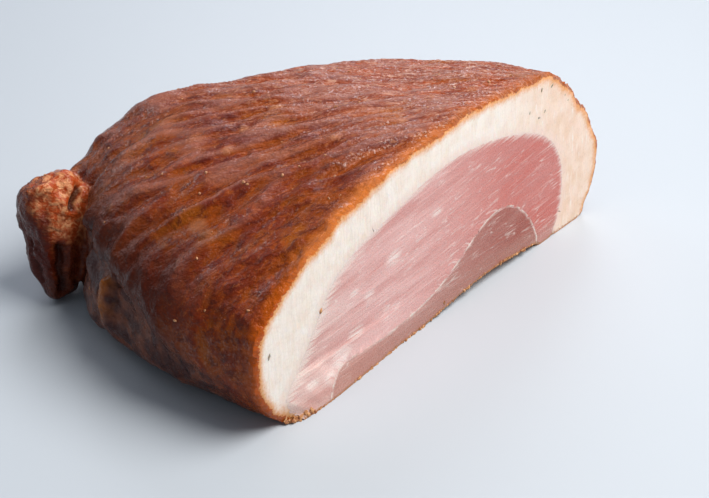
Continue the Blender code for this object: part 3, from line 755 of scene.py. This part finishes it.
def fatColour(add, at):
    # cream, pinker by the lean, peach at the tip, and yellow orange where the skin has stained it
    cloud = add("MapRange", {**soft, 0: at.blot, 1: 0.35, 2: 0.70})
    cream, peach = [add("Mix", {**rgb, 0: cloud, 6: fatColours[key][0], 7: fatColours[key][1]}, 2)
                    for key in ("cream", "peach")]
    atTip = add("MapRange", {**soft, 0: at.x, 1: 12, 2: 42, 4: 0.9})
    onSmear = add("MapRange", {**soft, 0: at.smear, 1: 0.55, 2: 0.75, 4: 0.6})
    leanEdge = add("Math", {**timesPlus, 0: at.smear, 1: -2.4, 2: at.leanNear})
    byLean = add("MapRange", {**soft, 0: leanEdge, 1: 1.2, 2: -1.3, 4: 0.85})
    # the stain and the skin itself end in small ragged teeth
    teeth = add("Math", {**timesPlus, 0: at.blot, 1: 1.2, 2: at.grain})
    depth = add("Math", {**timesPlus, 0: teeth, 1: -1.6, 2: 1.1})
    depth = add("Math", {"operation": "ADD", 0: depth, 1: at.fatDepth})
    onStain = add("MapRange", {**soft, 0: depth, 1: 1.9, 2: -0.3, 4: 0.9})
    raggedFoot = add("Math", {**timesPlus, 0: at.grain, 1: -2.0, 2: at.foot})
    onFoot = add("MapRange", {**soft, 0: raggedFoot, 1: -0.2, 2: -0.8, 4: 0.9})
    rimDepth = add("Math", {"operation": "ADD", 0: depth, 1: 0.35})
    pastRim = add("MapRange", {**soft, 0: rimDepth, 1: 0.05, 2: 0.40})
    inFat = add("MapRange", {**soft, 0: at.fatDepth, 1: 0.05, 2: 0.25})
    isFat = add("Math", {**times, 0: pastRim, 1: inFat})

    fat = cream
    layers = [(atTip, peach), (onSmear, fatColours["smear"]), (byLean, fatColours["byLean"]),
              (onStain, fatColours["stain"]), (onFoot, fatColours["foot"])]
    for share, tone in layers:
        fat = add("Mix", {**rgb, 0: share, 6: fat, 7: tone}, 2)
    return fat, isFat


def skinRelief(add, at, isFat):
    # the fat is smooth: each pattern is flattened there to its middle height
    knobbly = add("Mix", {"data_type": "FLOAT", 0: at.knob, 2: at.grain, 3: at.lump})
    glassy = add("Math", {**times, 0: at.calm, 1: 0.8})
    faint = add("Math", {**times, 0: at.onSide, 1: 0.7})
    below = {}
    reliefs = [(knobbly, glassy, 0.24), (at.fleck, at.calm, 0.34), (at.streak, faint, 0.75)]      # depths, mm
    for pattern, still, depth in reliefs:
        still = add("Math", {**larger, 0: isFat, 1: still})
        height = add("Mix", {"data_type": "FLOAT", 0: still, 2: pattern, 3: 0.5})
        below["Normal"] = add("Bump", {"Strength": 0.9, "Distance": depth * mm, "Height": height, **below})
    return add("Bump", {"Strength": 0.6, "Distance": 0.14 * mm, "Height": at.smear, **below})


def brownedSkinOnFat():
    # duck skin smoked to a glossy amber brown, and the waxy cream fat that a knife leaves under it
    mat, add, shade = startMaterial("smokedSkinOverFat")
    at = skinPatterns(add)
    colour, shaded = glowAndShade(add, at, leatherColour(add, at))
    colour, cleftShade = knobColour(add, at, colour)
    fat, isFat = fatColour(add, at)
    colour = add("Mix", {**rgb, 0: isFat, 6: colour, 7: fat}, 2)
    rough = add("MapRange", {0: at.fleck, 1: 0.35, 2: 0.65, 3: 0.16, 4: 0.35})
    rough = add("Math", {**timesPlus, 0: at.calm, 1: -0.09, 2: rough})
    rough = add("Math", {**timesPlus, 0: isFat, 1: 0.10, 2: rough})
    # melted fat gives the skin a glaze in spots, except in its shaded parts
    glaze = add("MapRange", {**soft, 0: at.grain, 1: 0.54, 2: 0.62, 4: 0.7})
    dry = add("Math", {**larger, 0: cleftShade, 1: shaded})
    moist = add("Math", {**minus, 0: 1.0, 1: dry})
    glaze = add("Math", {**times, 0: glaze, 1: moist})
    shade({"Base Color": colour, "Normal": skinRelief(add, at, isFat), "IOR": 1.45,
           "Roughness": rough, "Specular IOR Level": 0.18, "Coat Weight": glaze, "Coat Roughness": 0.12,
           "Subsurface Weight": add("MapRange", {0: isFat, 3: 0.04, 4: 0.25}),
           "Subsurface Radius": (1.0, 0.55, 0.3), "Subsurface Scale": 2.0 * mm})
    return mat


# crumbs and flecks; their shape is how long and how flat they are

footCrustPiece = {
    "from": -49.5, "to": 34,                                            # along the cut, mm
    "strays": [(-38.9, 19.4), (0.3, 2.3)],                              # dragged up by the knife: x, z, mm
    "radii": (0.14, 0.18, 0.22, 0.34), "strayRadius": (0.3, 0.5), "step": (0.25, 1.1), "rise": 0.2,
    # larger and thicker at the left corner
    "cornerTo": -43, "cornerLarger": 1.4, "cornerStep": (0.12, 0.26), "cornerRise": 0.9,
    "shape": (1.5, 0.7), "light": "#D29A66", "dark": "#96582E", "roughness": 0.5,
}
herbPiece = {
    # on the cut fat: x, z, in mm
    "places": [(28.8, 33.7), (32.4, 31.3), (34.5, 32.0), (32.9, 37.4), (36.7, 36.9), (42.1, 32.9),
               (43.4, 31.2), (-53.5, 17.0)],
    "radius": (0.12, 0.34), "shape": (2.0, 0.25), "light": "#B8AC96", "dark": "#7A6E58", "roughness": 0.7,
}
skinGrainPiece = {
    "count": 75, "overX": (-58, 58), "overY": (-35, 39), "lowest": 4,   # mm
    "radius": (0.12, 0.30), "shape": (1.4, 0.7), "light": "#CC9468", "dark": "#965A32", "roughness": 0.4,
}


def crumbMaterial(name, s):
    # dry browned crumb or leaf, lighter where it has broken
    mat, add, shade = startMaterial(name)
    spots = add("TexNoise", {"Scale": 1 / (0.5 * mm), "Detail": 3, "Vector": add("TexCoord", out="Object")})
    share = add("MapRange", {**soft, 0: spots, 1: 0.38, 2: 0.62})
    colour = add("Mix", {**rgb, 0: share, 6: s["light"], 7: s["dark"]}, 2)
    shade({"Base Color": colour, "Roughness": s["roughness"]})
    return mat


def scatter(name, spots, shape, material):
    # irregular bits, each at a place, with its way up and its radius
    rng = random.Random(len(spots))
    bpy.ops.object.select_all(action="DESELECT")
    bits = []
    for spot, up, radius in spots:
        bpy.ops.mesh.primitive_ico_sphere_add(subdivisions=2, radius=radius)
        bit = bpy.context.object
        bits.append(bit)
        turn = rng.uniform(0, 2 * math.pi)
        side = Vector((math.cos(turn), math.sin(turn), 0))
        side.rotate(Vector((0, 0, 1)).rotation_difference(up))
        for v in bit.data.vertices:
            along, high = v.co.dot(side), v.co.dot(up)
            v.co += side * along * (shape[0] - 1) + up * high * (shape[1] - 1)
            v.co *= 1 + 0.6 * noise.noise(v.co / radius + spot * 900)
            v.co += spot
            v.co.z = max(v.co.z, 0.01 * mm)
    for bit in bits:
        bit.select_set(True)
    bpy.context.view_layer.objects.active = bits[0]
    bpy.ops.object.join()
    piece = bpy.context.object
    piece.name = name
    finishPiece(piece, None, material)


def makeFootCrust():
    # browned bits along the lower edge of the cut face
    s = footCrustPiece
    rng = random.Random(7)
    spots = []
    x = s["from"]
    while x < s["to"]:
        atCorner = x < s["cornerTo"]
        z = footOfCut(x * mm) + rng.uniform(-0.05, s["cornerRise"] if atCorner else s["rise"]) * mm
        radius = rng.choice(s["radii"]) * (s["cornerLarger"] if atCorner else 1)
        y = cutY - flareAt(x * mm, z + 0.3 * mm) - rng.uniform(-0.15, 0.12) * mm
        spots.append((Vector((x * mm, y, z)), outOfCut, radius * mm))
        x += rng.uniform(*s["cornerStep"] if atCorner else s["step"])
    for x, z in s["strays"]:
        spots.append((Vector((x * mm, cutY, z * mm)), outOfCut, rng.uniform(*s["strayRadius"]) * mm))
    scatter("footCrust", spots, s["shape"], crumbMaterial("brownedCrust", s))


def makeHerbFlecks():
    s = herbPiece
    rng = random.Random(3)
    spots = [(Vector((x * mm, cutY - 0.02 * mm, z * mm)), outOfCut, rng.uniform(*s["radius"]) * mm)
             for x, z in s["places"]]
    scatter("herbFlecks", spots, s["shape"], crumbMaterial("driedHerb", s))


def makeSkinGrains(skin):
    # coarse grains of salt and spice caught in the skin, dropped on to it from above
    s = skinGrainPiece
    rng = random.Random(11)
    spots = []
    while len(spots) < s["count"]:
        above = Vector((rng.uniform(*s["overX"]), rng.uniform(*s["overY"]), 60)) * mm
        place, up = skin.ray_cast(above, Vector((0, 0, -1)))[:2]
        if place and place.z > s["lowest"] * mm:
            spots.append((place, up, rng.uniform(*s["radius"]) * mm))
    scatter("skinGrains", spots, s["shape"], crumbMaterial("tanSpiceGrain", s))


# floor, light and camera

view = {"target": Vector((9.24, -7.93, 0)) * mm, "turn": -51.84, "rise": 30.0, "away": 0.400, "lens": 95.0}
plate = {"size": 8, "tones": ("#BCC3CB", "#BFC6CD"), "cloudsPerMetre": 3.0,      # m
         "roughness": 0.42, "specular": 0.20}
# a lamp's angle is seen from above, counted from the camera's right towards its back; then its rise,
# how far away it is and how wide, in m, its watts and its colour
studio = {
    "sky": "#CED7E2", "skyStrength": 0.32,
    "lamps": {
        "softboxRight": (-8, 58, 0.60, 0.50, 5.0, "#FFFCF8"),
        "softboxBack": (86, 32, 0.9, 0.5, 2.2, "#EEF1FA"),
        "softboxFarLeft": (138, 31, 0.9, 0.45, 1.2, "#F0F1F6"),
    },
}


def makeFloor():
    bpy.ops.mesh.primitive_plane_add(size=plate["size"])
    floor = bpy.context.object
    floor.name = "floor"
    mat, add, shade = startMaterial("whiteGlazedPlate")       # smooth cool white, slightly glossy
    place = add("TexCoord", out="Object")
    cloud = add("TexNoise", {"Scale": plate["cloudsPerMetre"], "Detail": 2.0, "Vector": place})
    tint = add("Mix", {**rgb, 0: cloud, 6: plate["tones"][0], 7: plate["tones"][1]}, 2)
    shade({"Base Color": tint, "Roughness": plate["roughness"], "Specular IOR Level": plate["specular"]})
    floor.data.materials.append(mat)
    print("floor laid")


def makeLights():
    world = bpy.data.worlds.new("studio")
    bpy.context.scene.world = world
    world.use_nodes = True
    sky = {"Color": studio["sky"], "Strength": studio["skyStrength"]}
    fillNode(world.node_tree, world.node_tree.nodes["Background"], sky)
    aimAt = Vector((0, 0, 20 * mm))
    for name, (angle, rise, away, size, power, colour) in studio["lamps"].items():
        turn = math.radians(view["turn"] + angle)
        level = math.cos(math.radians(rise))
        spot = Vector((math.cos(turn) * level, math.sin(turn) * level, math.sin(math.radians(rise)))) * away
        aim = (aimAt - spot).to_track_quat("-Z", "Y").to_euler()
        bpy.ops.object.light_add(type="AREA", location=spot, rotation=aim)
        lamp = bpy.context.object
        lamp.name = name
        lamp.data.shape = "DISK"
        lamp.data.size = size
        lamp.data.energy = power
        lamp.data.color = linear(colour)[:3]
    bpy.context.scene.view_settings.view_transform = "Standard"
    print(len(studio["lamps"]), "lamps lit")


def makeCamera():
    turn, rise = math.radians(view["turn"]), math.radians(view["rise"])
    forward = Vector((-math.sin(turn) * math.cos(rise), math.cos(turn) * math.cos(rise), -math.sin(rise)))
    bpy.ops.object.camera_add(location=view["target"] - forward * view["away"],
                              rotation=(math.pi / 2 - rise, 0, turn))
    camera = bpy.context.object
    camera.data.lens = view["lens"]
    camera.data.sensor_width = 36
    camera.data.clip_start = 0.01
    bpy.context.scene.camera = camera
    print("camera", view["lens"], "mm lens")


# each piece is fitted to the finished ones before it

fillet = makeMeat("inner_fillet", "innerFillet", filletPiece,
                  curedMeat("curedSmokedFillet", filletPiece))
filletShape = searchTree(fillet.data)
lean = makeMeat("breast_meat", "breastMeat", leanPiece,
                curedMeat("curedSmokedLean", leanPiece), under=[filletShape])
skin = makeSkinAndFat([searchTree(lean.data), filletShape])
skinShape = searchTree(skin.data)
makeFootCrust()
makeHerbFlecks()
makeSkinGrains(skinShape)
makeFloor()
makeLights()
makeCamera()
